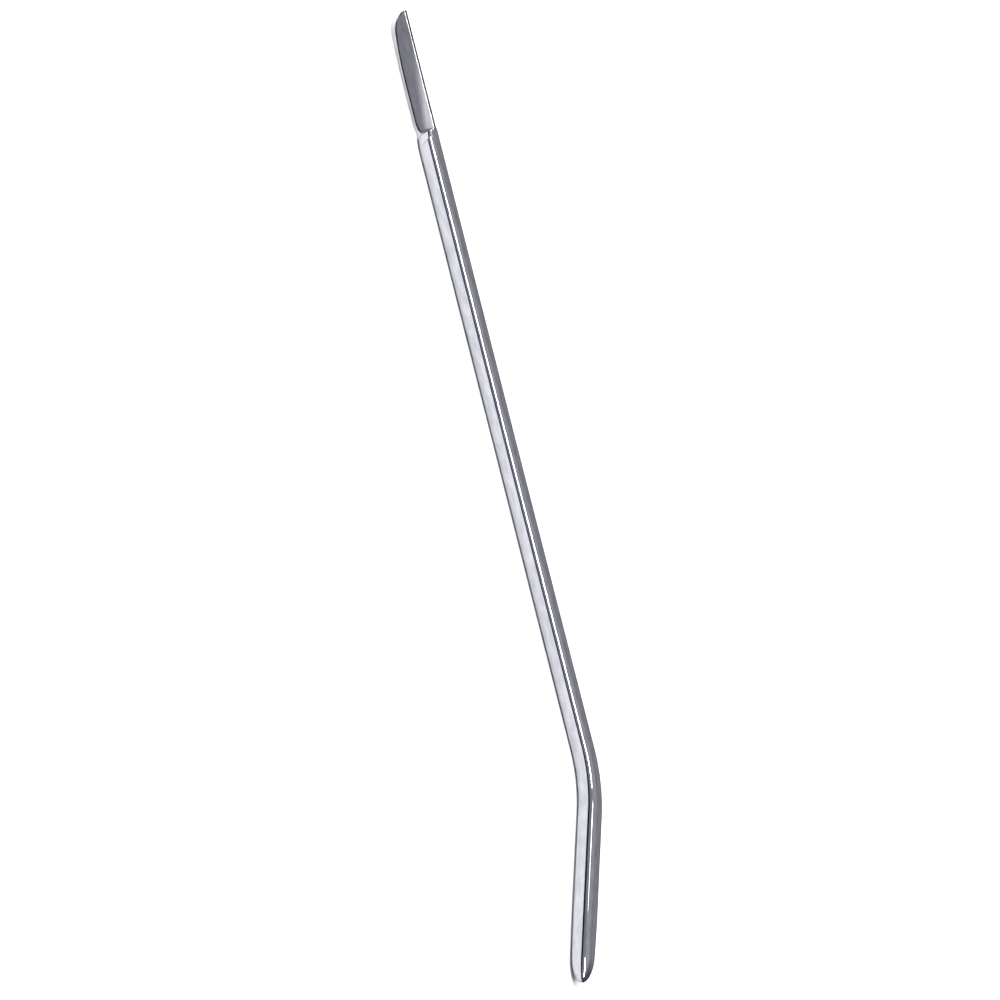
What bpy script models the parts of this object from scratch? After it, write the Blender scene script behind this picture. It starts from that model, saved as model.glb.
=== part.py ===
"""A metal spudger: one square steel bar with a knife blade at one end and a bent foot at the other.

Metres, +Z up. The tool lies on its underside at Z = 0, centred on the origin in X and Y.
The blade points along -X, and the foot bends towards -Y, which is called the front here.
The bar is modelled as four zones with a seam gap between them: blade, shank, bend and foot.
Each zone is drawn as rings of (along, front, up) points on a straight bar, then bent into place.
"""

import math

import bmesh
import bpy
from mathutils import Vector

MM = 0.001

# The square bar, and how far its rounded edges reach over the level and the upright faces.
BAR = 3.5 * MM
HALF = BAR / 2
LEVEL_REACH = 0.72 * MM
UPRIGHT_REACH = 1.08 * MM
RIDGE_LEVEL_REACH = 1.25 * MM
# The front face's two roundings, on the straight bar and on the foot.
RIDGE_UPRIGHT_REACHES = (1.22 * MM, 1.55 * MM)
LOWER_UPRIGHT_REACHES = (1.20 * MM, 1.45 * MM)
LOWER_LEVEL_REACH = 1.40 * MM
FLAT_PLACES = (0.2, 0.4, 0.6, 0.8)
FLAT_SHARE = 0.08
ARC_STEPS = 4
SEAM_GAP = 0.3 * MM

# Lengths along the bar's axis, from the point of the blade.
TIP_TO_CORNER = 142.8 * MM
CORNER_TO_NOSE = 39.1 * MM
BLADE_ZONE = 27.5 * MM

# The bend between the shank and the foot.
BEND_ANGLE = math.radians(34.5)
BEND_R = 20.0 * MM
BEND_STEPS = 12
BEND_TANGENT = BEND_R * math.tan(BEND_ANGLE / 2)
BEND_START = TIP_TO_CORNER - BEND_TANGENT
BEND_END = BEND_START + BEND_R * BEND_ANGLE
FOOT_LENGTH = CORNER_TO_NOSE - BEND_TANGENT

# Where the bar starts to grow thicker, and its size there, at the bend's start and at its end.
GROWTH = ((80.0 * MM, 1.0), (BEND_START, 1.035), (BEND_END, 1.095))

# The blade's stations. Each is where it crosses the top of the bar and where it crosses the
# underside, then how high the foot of its face and its cutting edge are above the axis.
BLADE_STATIONS = (
    (0.00 * MM, 1.45 * MM, 1.10 * MM, 0.75 * MM),
    (1.00 * MM, 2.10 * MM, 0.25 * MM, -0.15 * MM),
    (2.40 * MM, 3.30 * MM, -0.25 * MM, -0.65 * MM),
    (6.50 * MM, 7.60 * MM, -0.62 * MM, -1.00 * MM),
    (10.5 * MM, 11.5 * MM, -0.74 * MM, -1.12 * MM),
    (20.4 * MM, 20.4 * MM, -0.74 * MM, -1.16 * MM),
    (21.5 * MM, 21.8 * MM, -0.56 * MM, -1.00 * MM),
    (21.9 * MM, 22.6 * MM, -0.15 * MM, -0.62 * MM),
)
# The ledge between the blade's root and the shoulder, and how far its face is set back.
LEDGE = (22.15 * MM, 23.0 * MM)
LEDGE_DEPTH = 0.45 * MM
SHOULDER = (23.2 * MM, 25.2 * MM)

# The blade's section, as (front, up) from the bar's axis.
SPINE_REAR = (-1.22 * MM, HALF - 0.15 * MM)
SPINE_REAR_REACH = 0.10 * MM
SPINE_FRONT = (-0.18 * MM, HALF)
SPINE_SLOPE = (0.08 * MM, 0.09 * MM)
SPINE_R = 0.04 * MM
SPINE_EASE = 0.60 * MM
FACE_LEAN = math.tan(math.radians(28.5))
FACE_CROWN = 0.04 * MM
STEP_LEAN = math.tan(math.radians(17.0))
STEP_SHARE = 0.8
STEP_HEIGHT = 0.34 * MM
STEP_REACH = 0.05 * MM
EDGE_INSET = 0.06 * MM
EDGE_REACH = 0.03 * MM
BACK_LOW = (-0.25 * MM, -0.62 * MM)
BACK_HIGH = (-1.10 * MM, 0.55 * MM)
HOLLOW_REACH = 0.45 * MM

# The foot's nose: it tapers a little, then closes in a rounded end.
TAPER_LENGTH = 13.0 * MM
TAPER_SHARE = 0.13
NOSE_LENGTH = 4.8 * MM
NOSE_STEPS = 10


def clear_scene():
    """Removes every object that the file holds."""
    for old in list(bpy.data.objects):
        bpy.data.objects.remove(old)


def steel(name, base, roughness):
    """A bare stainless steel."""
    material = bpy.data.materials.new(name)
    material.use_nodes = True
    shader = material.node_tree.nodes["Principled BSDF"]
    shader.inputs["Base Color"].default_value = (base, base, base * 1.03, 1.0)
    shader.inputs["Metallic"].default_value = 1.0
    shader.inputs["Roughness"].default_value = roughness
    return material


def eased_corner(before, corner, after, reaches):
    """Points round one corner, starting and ending at its two reaches along the sides."""
    back = (before - corner).normalized()
    ahead = (after - corner).normalized()
    start = corner + back * reaches[0]
    end = corner + ahead * reaches[1]
    turn = math.pi - back.angle(ahead)
    weight = math.cos(turn / 2)
    points = []
    for step in range(ARC_STEPS + 1):
        t = step / ARC_STEPS
        shares = ((1 - t) ** 2, 2 * t * (1 - t) * weight, t**2)
        blended = start * shares[0] + corner * shares[1] + end * shares[2]
        points.append(blended / sum(shares))
    return points


def section(corners):
    """The closed outline through (front, up, reach before, reach after) corners."""
    places = [Vector(corner[:2]) for corner in corners]
    outline = []
    for i, corner in enumerate(corners):
        after = places[(i + 1) % len(places)]
        outline += eased_corner(places[i - 1], places[i], after, corner[2:])
    return outline


def bar_corners(scale=1.0, footward=0.0, set_back=0.0):
    """The square bar's corners, with the extra corners of the blade lying on its flat sides."""
    side = HALF * scale
    front = side - set_back
    level = LEVEL_REACH * scale
    upright = UPRIGHT_REACH * scale
    ridge, lower = (
        (on_bar + (on_foot - on_bar) * footward) * scale
        for on_bar, on_foot in (RIDGE_UPRIGHT_REACHES, LOWER_UPRIGHT_REACHES)
    )
    flat = 2 * side - ridge - lower
    small = flat * FLAT_SHARE
    on_flat = [(front, side - ridge - flat * share, small, small) for share in FLAT_PLACES]
    return [
        (-side, side, upright, level),
        (front, side, RIDGE_LEVEL_REACH * scale, ridge),
        *on_flat,
        (front, -side, lower, LOWER_LEVEL_REACH * scale),
        (-side, -side, level, upright),
        (-side, 0.0, small, small),
    ]


def blade_corners(foot_up, edge_up):
    """The blade: a narrow spine, a crowned front face, a small bevel, and a hollow back."""
    top_front = SPINE_FRONT[0] + SPINE_SLOPE[0]
    top_up = SPINE_FRONT[1] - SPINE_SLOPE[1]
    drop = top_up - foot_up
    foot_front = top_front + drop * FACE_LEAN
    crown_front = top_front + drop * FACE_LEAN / 2 + FACE_CROWN
    crown_reach = min(HOLLOW_REACH, drop / 4)
    step_up = foot_up - min((foot_up - edge_up) * STEP_SHARE, STEP_HEIGHT)
    step_front = foot_front + (foot_up - step_up) * STEP_LEAN
    return [
        (*SPINE_REAR, SPINE_REAR_REACH, SPINE_REAR_REACH),
        (*SPINE_FRONT, SPINE_R, SPINE_R),
        (top_front, top_up, SPINE_R, min(SPINE_EASE, drop / 4)),
        (crown_front, top_up - drop / 2, crown_reach, crown_reach),
        (foot_front, foot_up, crown_reach / 2, STEP_REACH),
        (step_front, step_up, STEP_REACH, STEP_REACH),
        (step_front - EDGE_INSET, edge_up, EDGE_REACH, EDGE_REACH),
        (*BACK_LOW, HOLLOW_REACH, HOLLOW_REACH),
        (*BACK_HIGH, HOLLOW_REACH, HOLLOW_REACH),
    ]


def growth(along):
    """How many times thicker than its blade end the bar is."""
    size = GROWTH[0][1]
    for (start, before), (end, after) in zip(GROWTH, GROWTH[1:]):
        share = min(max((along - start) / (end - start), 0.0), 1.0)
        size += (after - before) * share
    return size


def placed(point):
    """Where a point of the straight bar is on the bent tool."""
    along = point.x
    front = point.y * growth(along)
    height = (point.z + HALF) * growth(along)
    past = along - BEND_START
    turned = min(max(past / BEND_R, 0.0), BEND_ANGLE)
    beyond = min(past, 0.0) + max(along - BEND_END, 0.0)
    ahead = Vector((math.cos(turned), -math.sin(turned), 0.0))
    front_way = Vector((-math.sin(turned), -math.cos(turned), 0.0))
    centre = Vector((BEND_START, -BEND_R, height))
    return centre + front_way * (front - BEND_R) + ahead * beyond


def ring_at(corners, station):
    """A section placed on the tool, at a station that may slope from top to underside."""
    top, bottom = station
    ring = []
    for front, up in section(corners):
        share = (HALF - up) / BAR
        ring.append(placed(Vector((top + (bottom - top) * share, front, up))))
    return ring


def lofted(name, rings, material):
    """One closed solid through rings that have the same number of points."""
    mesh = bmesh.new()
    loops = [[mesh.verts.new(point) for point in ring] for ring in rings]
    for first, second in zip(loops, loops[1:]):
        for i in range(len(first)):
            j = (i + 1) % len(first)
            mesh.faces.new((first[i], first[j], second[j], second[i]))
    mesh.faces.new(reversed(loops[0]))
    mesh.faces.new(loops[-1])
    bmesh.ops.recalc_face_normals(mesh, faces=mesh.faces)
    data = bpy.data.meshes.new(name)
    mesh.to_mesh(data)
    mesh.free()
    data.shade_smooth()
    data.set_sharp_from_angle(angle=math.radians(25))
    data.materials.append(material)
    made = bpy.data.objects.new(name, data)
    bpy.context.scene.collection.objects.link(made)
    return made


def make_blade(material):
    """The knife blade with its sloping tip, the shoulder above it, and a short length of bar."""
    rings = [
        ring_at(blade_corners(foot_up, edge_up), (top, low))
        for top, low, foot_up, edge_up in BLADE_STATIONS
    ]
    end = BLADE_ZONE - SEAM_GAP / 2
    rings.append(ring_at(bar_corners(set_back=LEDGE_DEPTH), LEDGE))
    rings.append(ring_at(bar_corners(), SHOULDER))
    rings.append(ring_at(bar_corners(), (end, end)))
    return lofted("knife_blade", rings, material)


def make_shank(material):
    """The straight bar that is held."""
    start = BLADE_ZONE + SEAM_GAP / 2
    end = BEND_START - SEAM_GAP / 2
    rings = [ring_at(bar_corners(), (x, x)) for x in (start, GROWTH[0][0], end)]
    return lofted("shank", rings, material)


def make_bend(material):
    """The curved length between the shank and the foot."""
    start = BEND_START + SEAM_GAP / 2
    sweep = BEND_END - BEND_START - SEAM_GAP
    rings = []
    for step in range(BEND_STEPS + 1):
        share = step / BEND_STEPS
        x = start + sweep * share
        rings.append(ring_at(bar_corners(footward=share), (x, x)))
    return lofted("bend", rings, material)


def foot_scale(to_nose):
    """The foot's size at a distance from its nose, as a share of the bar's."""
    taper = max(0.0, 1 - to_nose / TAPER_LENGTH)
    size = 1 - TAPER_SHARE * taper**1.5
    if to_nose < NOSE_LENGTH:
        size *= math.sqrt(1 - (1 - to_nose / NOSE_LENGTH) ** 2)
    return size


def make_foot(material):
    """The straight foot with its tapered, rounded nose."""
    stations = [SEAM_GAP / 2, FOOT_LENGTH - TAPER_LENGTH]
    stations += [FOOT_LENGTH - TAPER_LENGTH * share for share in (0.8, 0.65, 0.5)]
    for step in range(NOSE_STEPS):
        quarter = math.pi / 2 * step / NOSE_STEPS
        stations.append(FOOT_LENGTH - NOSE_LENGTH * (1 - math.sin(quarter)))
    rings = []
    for station in stations:
        corners = bar_corners(foot_scale(FOOT_LENGTH - station), footward=1.0)
        x = BEND_END + station
        rings.append(ring_at(corners, (x, x)))
    return lofted("foot", rings, material)


def centre_on_origin(parts):
    """Moves the whole tool so that its box is centred on the origin in X and Y."""
    points = [part.matrix_world @ vertex.co for part in parts for vertex in part.data.vertices]
    for axis in (0, 1):
        low = min(point[axis] for point in points)
        high = max(point[axis] for point in points)
        for part in parts:
            part.location[axis] = -(low + high) / 2


def main():
    clear_scene()
    polished = steel("polished_steel", 0.62, 0.12)
    ground = steel("ground_steel", 0.56, 0.22)
    parts = [make_blade(ground), make_shank(polished), make_bend(polished), make_foot(polished)]
    centre_on_origin(parts)


main()
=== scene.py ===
"""The looks of a polished steel spudger: fine meshes for its four zones, its steel, and a white table."""

import math

import bmesh
import bpy
from mathutils import Matrix, Vector


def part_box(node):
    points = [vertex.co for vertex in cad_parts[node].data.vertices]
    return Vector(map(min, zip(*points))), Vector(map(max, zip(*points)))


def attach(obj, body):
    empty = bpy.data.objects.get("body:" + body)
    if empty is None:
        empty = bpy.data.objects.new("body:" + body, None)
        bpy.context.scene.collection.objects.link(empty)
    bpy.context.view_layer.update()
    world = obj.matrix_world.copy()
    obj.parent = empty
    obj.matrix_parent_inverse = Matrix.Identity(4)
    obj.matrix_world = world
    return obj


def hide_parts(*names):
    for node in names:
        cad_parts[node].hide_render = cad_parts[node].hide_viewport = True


MM = 0.001

# ---------------------------------------------------------------------------------------------
# The frame, and the sizes that follow from it
# ---------------------------------------------------------------------------------------------

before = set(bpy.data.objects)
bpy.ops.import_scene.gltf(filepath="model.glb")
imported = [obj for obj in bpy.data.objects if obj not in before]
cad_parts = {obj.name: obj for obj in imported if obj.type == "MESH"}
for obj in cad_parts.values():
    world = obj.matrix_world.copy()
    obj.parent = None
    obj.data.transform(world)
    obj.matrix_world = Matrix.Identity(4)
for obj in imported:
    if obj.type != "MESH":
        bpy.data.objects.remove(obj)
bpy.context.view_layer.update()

shank_low, shank_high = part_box("shank")
blade_low, blade_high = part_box("knife_blade")

SIDE_Y = (shank_low.y + shank_high.y) / 2  # the shank's axis
POINT_X = blade_low.x  # the point of the blade

# The bar's design, in the CAD's own terms: distances run along its axis from the blade's point.
BAR = 3.5 * MM
HALF = BAR / 2
# How far the rounding of the long edges reaches over the level faces and the upright faces.
LEVEL_REACH = 0.72 * MM
UPRIGHT_REACH = 1.08 * MM
RIDGE_LEVEL_REACH = 1.25 * MM
# The front face's two roundings, on the straight bar and on the foot.
RIDGE_UPRIGHT_REACHES = (1.22 * MM, 1.55 * MM)
LOWER_UPRIGHT_REACHES = (1.20 * MM, 1.45 * MM)
LOWER_LEVEL_REACH = 1.40 * MM
TIP_TO_CORNER = 142.8 * MM
CORNER_TO_NOSE = 39.1 * MM
BEND_ANGLE = math.radians(34.5)
BEND_R = 20.0 * MM
BEND_TANGENT = BEND_R * math.tan(BEND_ANGLE / 2)
SHANK_START = (blade_high.x + shank_low.x) / 2 - POINT_X
SHANK_END = TIP_TO_CORNER - BEND_TANGENT
BEND_END = SHANK_END + BEND_R * BEND_ANGLE
FOOT_LENGTH = CORNER_TO_NOSE - BEND_TANGENT
# Where the bar starts to grow thicker, and its size there, at the bend's start and at its end.
GROWTH = ((80.0 * MM, 1.0), (SHANK_END, 1.035), (BEND_END, 1.095))

# The blade's stations. Each is where it crosses the top of the bar and where it crosses the
# underside, then how high the foot of its face and its cutting edge are above the axis.
BLADE_STATIONS = (
    (0.00 * MM, 1.45 * MM, 1.10 * MM, 0.75 * MM),
    (1.00 * MM, 2.10 * MM, 0.25 * MM, -0.15 * MM),
    (2.40 * MM, 3.30 * MM, -0.25 * MM, -0.65 * MM),
    (6.50 * MM, 7.60 * MM, -0.62 * MM, -1.00 * MM),
    (10.5 * MM, 11.5 * MM, -0.74 * MM, -1.12 * MM),
    (20.4 * MM, 20.4 * MM, -0.74 * MM, -1.16 * MM),
    (21.5 * MM, 21.8 * MM, -0.56 * MM, -1.00 * MM),
    (21.9 * MM, 22.6 * MM, -0.15 * MM, -0.62 * MM),
)
# The ledge between the blade's root and the shoulder, and how far its face is set back.
LEDGE = (22.15 * MM, 23.0 * MM)
LEDGE_DEPTH = 0.45 * MM
SHOULDER = (23.2 * MM, 25.2 * MM)

# The blade's section, as (front, up) from the bar's axis, and the reaches of its corners.
SPINE_FRONT = (-0.18 * MM, HALF)
SPINE_SLOPE = (0.08 * MM, 0.09 * MM)
SPINE_REAR = (-1.22 * MM, HALF - 0.15 * MM)
SPINE_REAR_REACH = 0.10 * MM
FACE_LEAN = math.tan(math.radians(28.5))
FACE_CROWN = 0.04 * MM
STEP_LEAN = math.tan(math.radians(17.0))
STEP_SHARE = 0.8
STEP_HEIGHT = 0.34 * MM
STEP_REACH = 0.05 * MM
EDGE_INSET = 0.06 * MM
# How far each crease between two stations is eased along the tool, from the point to the shoulder.
CREASE_EASES = (
    0.4 * MM, 0.5 * MM, 1.2 * MM, 1.5 * MM, 0.5 * MM, 0.22 * MM, 0.10 * MM, 0.08 * MM,
    0.03 * MM, 0.02 * MM, 0.03 * MM,
)
# The grinding mark along the shoulder.
GROOVE = 0.05 * MM
GROOVE_HALF = 0.07 * MM
BACK_LOW = (-0.25 * MM, -0.62 * MM)
BACK_HIGH = (-1.10 * MM, 0.55 * MM)
EDGE_REACH = 0.03 * MM
# Where the blade's extra corners lie on the bar's front face, and their reach, as shares of it.
FLAT_PLACES = (0.2, 0.4, 0.6, 0.8)
FLAT_SHARE = 0.08
BROAD_REACH = 0.45 * MM
SPINE_R = 0.04 * MM
SPINE_EASE = 0.60 * MM

# The foot tapers a little, then closes in a rounded nose.
TAPER_LENGTH = 13.0 * MM
TAPER_SHARE = 0.13
TAPER_POWER = 1.5
NOSE_LENGTH = 4.8 * MM
NOSE_POWER = 2.0

# How finely the meshes are divided.
ARC_STEPS = 8
FLAT_STEPS = 5
CREASE_STEPS = 4
RING_SPACING = 0.6 * MM
BEND_STEPS = 36
NOSE_STEPS = 28


# ---------------------------------------------------------------------------------------------
# Sections
# ---------------------------------------------------------------------------------------------


def conic(start, corner, end, weight, steps):
    """Points along a conic arc from start to end, pulled towards a corner."""
    points = []
    for step in range(steps + 1):
        t = step / steps
        shares = ((1 - t) ** 2, 2 * t * (1 - t) * weight, t**2)
        blended = start * shares[0] + corner * shares[1] + end * shares[2]
        points.append(blended / sum(shares))
    return points


def eased_corner(before, corner, after, reaches, steps):
    """Points round one corner, starting and ending at its two reaches along the sides."""
    back = (before - corner).normalized()
    ahead = (after - corner).normalized()
    turn = math.pi - back.angle(ahead)
    return conic(
        corner + back * reaches[0], corner, corner + ahead * reaches[1], math.cos(turn / 2), steps
    )


def section(corners):
    """The closed outline round (front, up, reach before, reach after) corners, as (front, up)."""
    places = [Vector(corner[:2]) for corner in corners]
    outline = []
    for i, corner in enumerate(corners):
        after = places[(i + 1) % len(places)]
        outline += eased_corner(places[i - 1], places[i], after, corner[2:], ARC_STEPS)
    closed = []
    per_corner = ARC_STEPS + 1
    for i in range(len(corners)):
        arc = outline[i * per_corner : (i + 1) * per_corner]
        next_start = outline[(i + 1) * per_corner % len(outline)]
        closed += arc
        for step in range(1, FLAT_STEPS):
            closed.append(arc[-1].lerp(next_start, step / FLAT_STEPS))
    return closed


def bar_corners(scale=1.0, groove=0.0, footward=0.0):
    """The square bar's corners, with the extra corners of the blade lying on its flat sides."""
    side = HALF * scale
    front = side - groove
    level = LEVEL_REACH * scale
    upright = UPRIGHT_REACH * scale
    ridge, lower = (
        (on_bar + (on_foot - on_bar) * footward) * scale
        for on_bar, on_foot in (RIDGE_UPRIGHT_REACHES, LOWER_UPRIGHT_REACHES)
    )
    flat = 2 * side - ridge - lower
    small = flat * FLAT_SHARE
    on_flat = [(front, side - ridge - flat * share, small, small) for share in FLAT_PLACES]
    return [
        (-side, side, upright, level),
        (front, side, RIDGE_LEVEL_REACH * scale, ridge),
        *on_flat,
        (front, -side, lower, LOWER_LEVEL_REACH * scale),
        (-side, -side, level, upright),
        (-side, 0.0, small, small),
    ]


def blade_corners(foot_up, edge_up):
    """The blade: a narrow spine, a slightly crowned face, a step, a cutting edge and a back."""
    top_front = SPINE_FRONT[0] + SPINE_SLOPE[0]
    top_up = SPINE_FRONT[1] - SPINE_SLOPE[1]
    drop = top_up - foot_up
    foot_front = top_front + drop * FACE_LEAN
    crown_front = top_front + drop * FACE_LEAN / 2 + FACE_CROWN
    crown = min(BROAD_REACH, drop / 4)
    step_up = foot_up - min((foot_up - edge_up) * STEP_SHARE, STEP_HEIGHT)
    step_front = foot_front + (foot_up - step_up) * STEP_LEAN
    return [
        (*SPINE_REAR, SPINE_REAR_REACH, SPINE_REAR_REACH),
        (*SPINE_FRONT, SPINE_R, SPINE_R),
        (top_front, top_up, SPINE_R, min(SPINE_EASE, drop / 4)),
        (crown_front, top_up - drop / 2, crown, crown),
        (foot_front, foot_up, crown / 2, STEP_REACH),
        (step_front, step_up, STEP_REACH, STEP_REACH),
        (step_front - EDGE_INSET, edge_up, EDGE_REACH, EDGE_REACH),
        (*BACK_LOW, BROAD_REACH, BROAD_REACH),
        (*BACK_HIGH, BROAD_REACH, BROAD_REACH),
    ]


# ---------------------------------------------------------------------------------------------
# Rings: each is a list of (along, front, up), as if the bar were straight
# ---------------------------------------------------------------------------------------------


def ring_at(corners, station):
    """A section at a station that may slope from the top of the bar to its underside."""
    top, bottom = station
    ring = []
    for front, up in section(corners):
        share = (HALF - up) / BAR
        ring.append(Vector((top + (bottom - top) * share, front, up)))
    return ring


def eased_rings(keys, reaches):
    """Rings through key rings, with each inner key's crease eased by its reach."""
    columns = []
    for points in zip(*keys):
        column = [points[0]]
        for i in range(1, len(points) - 1):
            pair = (reaches[i - 1], reaches[i - 1])
            column += eased_corner(points[i - 1], points[i], points[i + 1], pair, CREASE_STEPS)
        column.append(points[-1])
        columns.append(column)
    return [list(ring) for ring in zip(*columns)]


def filled_in(rings):
    """The same rings, with more between those that are far apart."""
    result = [rings[0]]
    for first, second in zip(rings, rings[1:]):
        longest = max((b - a).length for a, b in zip(first, second))
        count = max(1, math.ceil(longest / RING_SPACING))
        for step in range(1, count + 1):
            result.append([a.lerp(b, step / count) for a, b in zip(first, second)])
    return result


def blade_rings():
    keys = [ring_at(blade_corners(*heights), (top, low)) for top, low, *heights in BLADE_STATIONS]
    keys.append(ring_at(bar_corners(groove=LEDGE_DEPTH), LEDGE))
    for step, depth in enumerate((0.0, GROOVE, 0.0)):
        station = [place + step * GROOVE_HALF for place in SHOULDER]
        keys.append(ring_at(bar_corners(groove=depth), station))
    keys.append(ring_at(bar_corners(), (SHANK_START, SHANK_START)))
    return filled_in(eased_rings(keys, CREASE_EASES))


def shank_rings():
    return filled_in([ring_at(bar_corners(), (x, x)) for x in (SHANK_START, SHANK_END)])


def bend_rings():
    rings = []
    for step in range(BEND_STEPS + 1):
        share = step / BEND_STEPS
        place = SHANK_END + (BEND_END - SHANK_END) * share
        rings.append(ring_at(bar_corners(footward=share), (place, place)))
    return rings


def foot_scale(to_nose):
    """The foot's size at a distance from its nose, as a share of the bar's."""
    taper = max(0.0, 1 - to_nose / TAPER_LENGTH)
    size = 1 - TAPER_SHARE * taper**TAPER_POWER
    if to_nose < NOSE_LENGTH:
        size *= (1 - (1 - to_nose / NOSE_LENGTH) ** NOSE_POWER) ** (1 / NOSE_POWER)
    return size


def foot_rings():
    body = FOOT_LENGTH - NOSE_LENGTH
    count = math.ceil(body / RING_SPACING)
    stations = [body * step / count for step in range(count)]
    for step in range(NOSE_STEPS):
        quarter = math.pi / 2 * step / NOSE_STEPS
        stations.append(body + NOSE_LENGTH * math.sin(quarter))
    rings = []
    for station in stations:
        corners = bar_corners(foot_scale(FOOT_LENGTH - station), footward=1.0)
        rings.append(ring_at(corners, (BEND_END + station, BEND_END + station)))
    return rings


# ---------------------------------------------------------------------------------------------
# From the straight bar to the bent tool
# ---------------------------------------------------------------------------------------------


def growth(along):
    """How many times thicker than its blade end the bar is."""
    size = GROWTH[0][1]
    for (start, before), (end, after) in zip(GROWTH, GROWTH[1:]):
        share = min(max((along - start) / (end - start), 0.0), 1.0)
        size += (after - before) * share
    return size


def placed(point):
    """Where a point of the straight bar is on the bent tool, in the frame."""
    along = point.x
    front = point.y * growth(along)
    height = (point.z + HALF) * growth(along)
    past = along - SHANK_END
    arc = BEND_R * BEND_ANGLE
    turned = min(max(past / BEND_R, 0.0), BEND_ANGLE)
    beyond = min(past, 0.0) + max(past - arc, 0.0)
    ahead = Vector((math.cos(turned), -math.sin(turned), 0.0))
    front_way = Vector((-math.sin(turned), -math.cos(turned), 0.0))
    centre = Vector((POINT_X + SHANK_END, SIDE_Y - BEND_R, height))
    return centre + front_way * (front - BEND_R) + ahead * beyond


def lofted(name, rings):
    """One closed mesh through the rings, which remembers each point's place on the straight bar."""
    mesh = bmesh.new()
    flow = mesh.verts.layers.float_vector.new("flow")
    loops = []
    for ring in rings:
        loop = []
        for point in ring:
            vertex = mesh.verts.new(placed(point))
            vertex[flow] = point
            loop.append(vertex)
        loops.append(loop)
    for first, second in zip(loops, loops[1:]):
        for i in range(len(first)):
            j = (i + 1) % len(first)
            mesh.faces.new((first[i], first[j], second[j], second[i])).smooth = True
    for loop in (list(reversed(loops[0])), loops[-1]):
        cap = mesh.faces.new(loop)
        for edge in cap.edges:
            edge.smooth = False
    bmesh.ops.recalc_face_normals(mesh, faces=mesh.faces)
    data = bpy.data.meshes.new(name)
    mesh.to_mesh(data)
    mesh.free()
    made = bpy.data.objects.new(name, data)
    bpy.context.scene.collection.objects.link(made)
    return made


# ---------------------------------------------------------------------------------------------
# Materials
# ---------------------------------------------------------------------------------------------


NOISE_SPAN = (0.3, 0.7)

# Waves per metre, lengthwise and each way across.
CLOUD_SCALE = (350.0, 1100.0, 1100.0)
LINES_SCALE = (250.0, 12000.0, 12000.0)
STREAK_SCALE = (12.0, 1500.0, 1500.0)
WAVE_SCALE = (60.0, 250.0, 250.0)
FINE_DETAIL = 3.0
STREAK_DETAIL = 2.0
WAVE_DETAIL = 1.0
STREAK = 0.002 * MM
WAVE = 0.010 * MM

# The coarser grinding on the blade's face: where it starts, ends and stops at the back.
PATCH_SLOPE = 0.13
PATCH_LEVELS = (2.1 * MM, 3.5 * MM)
PATCH_END = (21.6 * MM, 22.2 * MM)
PATCH_BACK = (-0.18 * MM, -0.08 * MM)
PATCH_ROUGHNESS = 0.31

# Dark and light tint, the range of roughness, and the height of the polishing lines.
POLISHED = ((0.41, 0.42, 0.46), (0.55, 0.55, 0.58), (0.05, 0.09), 0.0006 * MM)
GROUND = ((0.45, 0.45, 0.50), (0.56, 0.56, 0.59), (0.08, 0.14), 0.0015 * MM)


class Graph:
    """A material's nodes, added and joined in one call each."""

    def __init__(self, name):
        self.material = bpy.data.materials.new(name)
        self.material.use_nodes = True
        self.tree = self.material.node_tree
        self.shader = self.tree.nodes["Principled BSDF"]

    def add(self, kind, settings=None, **inputs):
        node = self.tree.nodes.new(kind)
        for key, value in (settings or {}).items():
            setattr(node, key, value)
        for key, value in inputs.items():
            self.set(node, key.replace("_", " "), value)
        return node

    def set(self, node, key, value):
        socket = node.inputs[int(key)] if key.isdigit() else node.inputs[key]
        if isinstance(value, bpy.types.NodeSocket):
            self.tree.links.new(value, socket)
        else:
            socket.default_value = value


def stretched_noise(graph, scale, detail):
    """Noise over the straight bar's own coordinates, with a scale in waves per metre each way."""
    flow = graph.add("ShaderNodeAttribute", {"attribute_name": "flow"})
    size = graph.add("ShaderNodeVectorMath", {"operation": "MULTIPLY"})
    graph.set(size, "0", flow.outputs["Vector"])
    graph.set(size, "1", scale)
    noise = graph.add("ShaderNodeTexNoise", Scale=1.0, Detail=detail)
    graph.set(noise, "Vector", size.outputs[0])
    return noise.outputs["Fac"]


def ranged(graph, value, source, result):
    """A value spread from one range to another, and held at its ends."""
    node = graph.add("ShaderNodeMapRange", {"clamp": True})
    graph.set(node, "Value", value)
    for key, number in zip(("From Min", "From Max", "To Min", "To Max"), (*source, *result)):
        graph.set(node, key, number)
    return node.outputs["Result"]


def worn_patch(graph):
    """A share from 0 to 1: the coarser grinding on the blade's face, widest at its root."""
    flow = graph.add("ShaderNodeAttribute", {"attribute_name": "flow"})
    split = graph.add("ShaderNodeSeparateXYZ")
    graph.set(split, "0", flow.outputs["Vector"])
    rise = graph.add("ShaderNodeMath", {"operation": "MULTIPLY_ADD"})
    graph.set(rise, "0", split.outputs["X"])
    graph.set(rise, "1", PATCH_SLOPE)
    graph.set(rise, "2", split.outputs["Z"])
    inside = ranged(graph, rise.outputs[0], PATCH_LEVELS, (0.0, 1.0))
    before_root = ranged(graph, split.outputs["X"], PATCH_END, (1.0, 0.0))
    on_face = ranged(graph, split.outputs["Y"], PATCH_BACK, (0.0, 1.0))
    share = inside
    for other in (before_root, on_face):
        both = graph.add("ShaderNodeMath", {"operation": "MULTIPLY"})
        graph.set(both, "0", share)
        graph.set(both, "1", other)
        share = both.outputs[0]
    return share


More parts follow.
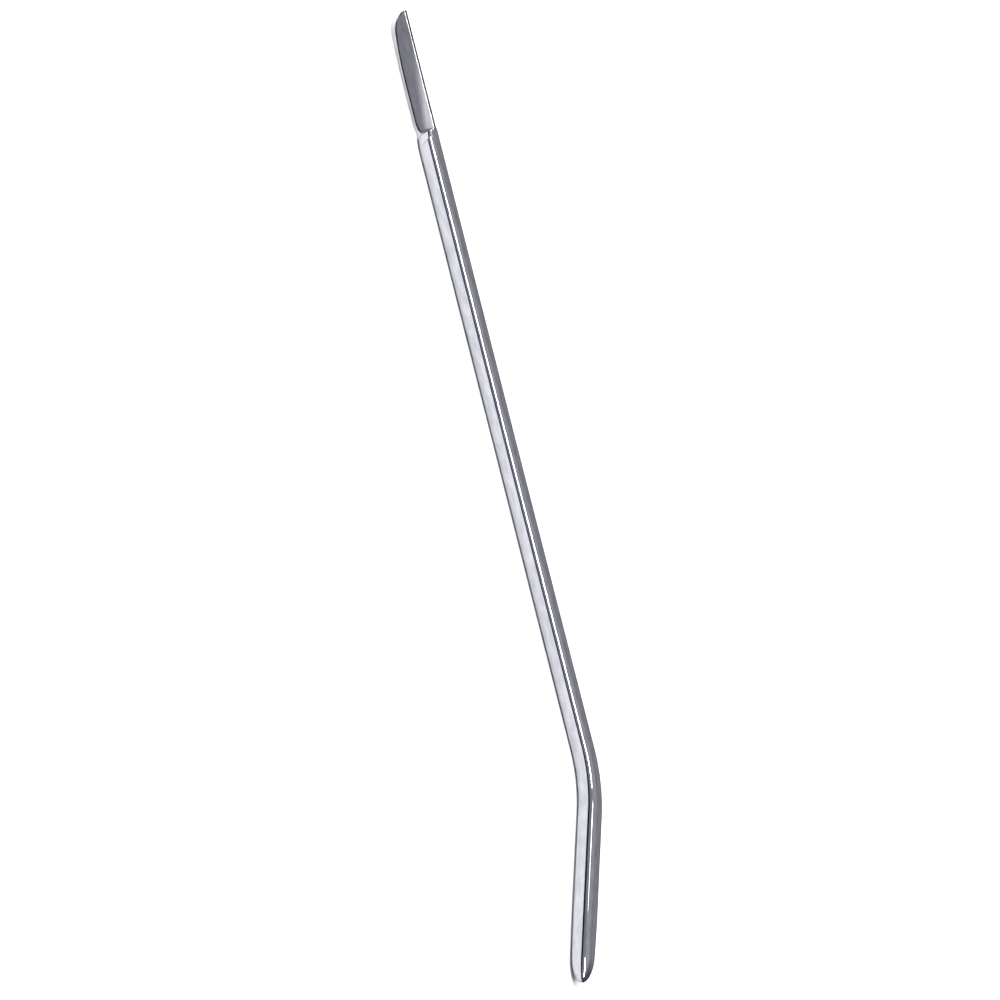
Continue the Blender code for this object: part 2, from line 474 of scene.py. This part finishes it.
def steel(name, dark, light, roughness, scratch_height, patch=False):
    """Bare stainless steel with lengthwise polishing lines and a slight hand-finished waviness."""
    graph = Graph(name)
    shader = graph.shader
    shader.inputs["Metallic"].default_value = 1.0
    cloud = stretched_noise(graph, CLOUD_SCALE, FINE_DETAIL)
    tint = graph.add("ShaderNodeMix", {"data_type": "RGBA"})
    graph.set(tint, "0", ranged(graph, cloud, NOISE_SPAN, (0.0, 1.0)))
    tint.inputs[6].default_value = (*dark, 1.0)
    tint.inputs[7].default_value = (*light, 1.0)
    graph.set(shader, "Base Color", tint.outputs[2])
    lines = stretched_noise(graph, LINES_SCALE, FINE_DETAIL)
    rough = ranged(graph, lines, NOISE_SPAN, roughness)
    if patch:
        coarse = graph.add("ShaderNodeMath", {"operation": "MULTIPLY_ADD"})
        graph.set(coarse, "0", worn_patch(graph))
        graph.set(coarse, "1", PATCH_ROUGHNESS)
        graph.set(coarse, "2", rough)
        rough = coarse.outputs[0]
    graph.set(shader, "Roughness", rough)
    streaks = stretched_noise(graph, STREAK_SCALE, STREAK_DETAIL)
    waves = stretched_noise(graph, WAVE_SCALE, WAVE_DETAIL)
    normal = None
    for height, distance in ((lines, scratch_height), (streaks, STREAK), (waves, WAVE)):
        bump = graph.add("ShaderNodeBump", Strength=1.0, Distance=distance)
        graph.set(bump, "Height", height)
        if normal:
            graph.set(bump, "Normal", normal)
        normal = bump.outputs["Normal"]
    graph.set(shader, "Normal", normal)
    return graph.material


polished = steel("polished_steel", *POLISHED)
ground = steel("ground_steel", *GROUND, patch=True)


# ---------------------------------------------------------------------------------------------
# Pieces
# ---------------------------------------------------------------------------------------------


def add_piece(node, rings, material):
    piece = lofted("steel_" + node, rings)
    piece.data.materials.append(material)
    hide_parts(node)
    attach(piece, "root")


add_piece("knife_blade", blade_rings(), ground)
add_piece("shank", shank_rings(), polished)
add_piece("bend", bend_rings(), polished)
add_piece("foot", foot_rings(), polished)


# ---------------------------------------------------------------------------------------------
# Table, light and camera
# ---------------------------------------------------------------------------------------------

FLOOR_SIZE = 6.0
FLOOR_CELLS = 8
FLOOR_DROP = 0.02 * MM
FLOOR_COLOUR = (0.93, 0.93, 0.93, 1.0)
FLOOR_ROUGHNESS = 0.9
FLOOR_SHEEN = 0.1

# The studio's brightness by the sine of the height above the horizon, and its cast.
STUDIO_LEVELS = ((0.0, 0.02), (0.26, 0.03), (0.38, 0.37), (0.55, 0.38), (0.75, 0.48), (1.0, 0.58))
STUDIO_CAST = (0.97, 0.97, 1.06)
# The studio dims towards +X: where it starts and ends, and its strength at each.
DARK_END_SPAN = (0.15, 0.45)
DARK_END_STRENGTH = (1.0, 0.35)

# Each light's (azimuth, elevation) in degrees, its size in metres and its radiance.
LIGHT_DISTANCE = 1.6
LIGHTS = {
    "overhead_softbox": ((0, 61), (1.7, 0.15), 34.0),
    "side_softbox": ((-87, 48.5), (0.6, 0.34), 7.0),
    "back_softbox": ((-125, 36), (1.2, 0.6), 7.5),
}

VIEW_ELEVATION = math.radians(28.0)
VIEW_ROLL = math.radians(14.2)
CAMERA_DISTANCE = 0.60
# The width of the view at the tool, and what it is centred on, right of and above the corner.
FIELD = 180.4 * MM
AIM_FROM_CORNER = (-16.24 * MM, 50.5 * MM)
SENSOR = 36.0


def make_floor():
    mesh = bmesh.new()
    cells = FLOOR_CELLS
    bmesh.ops.create_grid(mesh, x_segments=cells, y_segments=cells, size=FLOOR_SIZE / 2)
    data = bpy.data.meshes.new("floor")
    mesh.to_mesh(data)
    mesh.free()
    floor = bpy.data.objects.new("floor", data)
    floor.location.z = -FLOOR_DROP
    bpy.context.scene.collection.objects.link(floor)
    graph = Graph("white_table")
    graph.shader.inputs["Base Color"].default_value = FLOOR_COLOUR
    graph.shader.inputs["Roughness"].default_value = FLOOR_ROUGHNESS
    graph.shader.inputs["Specular IOR Level"].default_value = FLOOR_SHEEN
    data.materials.append(graph.material)


def area_light(name, towards, size, radiance):
    """A rectangular soft light that faces the tool, from an (azimuth, elevation) in degrees."""
    azimuth, elevation = (math.radians(angle) for angle in towards)
    away = Vector(
        (
            math.sin(azimuth) * math.cos(elevation),
            -math.cos(azimuth) * math.cos(elevation),
            math.sin(elevation),
        )
    )
    data = bpy.data.lights.new(name, "AREA")
    data.shape = "RECTANGLE"
    data.size = size[0]
    data.size_y = size[1]
    data.energy = radiance * size[0] * size[1] * math.pi
    light = bpy.data.objects.new(name, data)
    light.location = away * LIGHT_DISTANCE
    light.rotation_euler = away.to_track_quat("Z", "Y").to_euler()
    bpy.context.scene.collection.objects.link(light)


def make_world():
    """A grey studio that is darkest along the horizon."""
    world = bpy.data.worlds.new("studio")
    world.use_nodes = True
    tree = world.node_tree
    place = tree.nodes.new("ShaderNodeTexCoord")
    split = tree.nodes.new("ShaderNodeSeparateXYZ")
    ramp = tree.nodes.new("ShaderNodeValToRGB")
    tree.links.new(place.outputs["Generated"], split.inputs[0])
    tree.links.new(split.outputs["Z"], ramp.inputs[0])
    tree.links.new(ramp.outputs[0], tree.nodes["Background"].inputs["Color"])
    while len(ramp.color_ramp.elements) < len(STUDIO_LEVELS):
        ramp.color_ramp.elements.new(0.5)
    for element, (height, level) in zip(ramp.color_ramp.elements, STUDIO_LEVELS):
        element.position = height
        element.color = (*(level * share for share in STUDIO_CAST), 1.0)
    dark_end = tree.nodes.new("ShaderNodeMapRange")
    names = ("From Min", "From Max", "To Min", "To Max")
    for key, number in zip(names, (*DARK_END_SPAN, *DARK_END_STRENGTH)):
        dark_end.inputs[key].default_value = number
    tree.links.new(split.outputs["X"], dark_end.inputs["Value"])
    tree.links.new(dark_end.outputs["Result"], tree.nodes["Background"].inputs["Strength"])
    bpy.context.scene.world = world


def make_camera():
    """A long lens that looks down on the front, rolled so that the blade is at the top."""
    towards = Vector((0.0, -math.cos(VIEW_ELEVATION), math.sin(VIEW_ELEVATION)))
    across = Vector((0.0, math.sin(VIEW_ELEVATION), math.cos(VIEW_ELEVATION)))
    to_blade = Vector((-1.0, 0.0, 0.0))
    right = across * math.cos(VIEW_ROLL) - to_blade * math.sin(VIEW_ROLL)
    up = to_blade * math.cos(VIEW_ROLL) + across * math.sin(VIEW_ROLL)
    corner = Vector((POINT_X + TIP_TO_CORNER, SIDE_Y, HALF))
    aim = corner + right * AIM_FROM_CORNER[0] + up * AIM_FROM_CORNER[1]
    data = bpy.data.cameras.new("camera")
    data.sensor_width = SENSOR
    data.lens = SENSOR * CAMERA_DISTANCE / FIELD
    data.clip_start = 0.01
    data.clip_end = 50.0
    camera = bpy.data.objects.new("camera", data)
    turn = Matrix((right, up, towards)).transposed().to_4x4()
    camera.matrix_world = Matrix.Translation(aim + towards * CAMERA_DISTANCE) @ turn
    bpy.context.scene.collection.objects.link(camera)
    bpy.context.scene.camera = camera


make_floor()
make_world()
for light_name, light in LIGHTS.items():
    area_light(light_name, *light)
make_camera()
bpy.context.scene.view_settings.view_transform = "Standard"
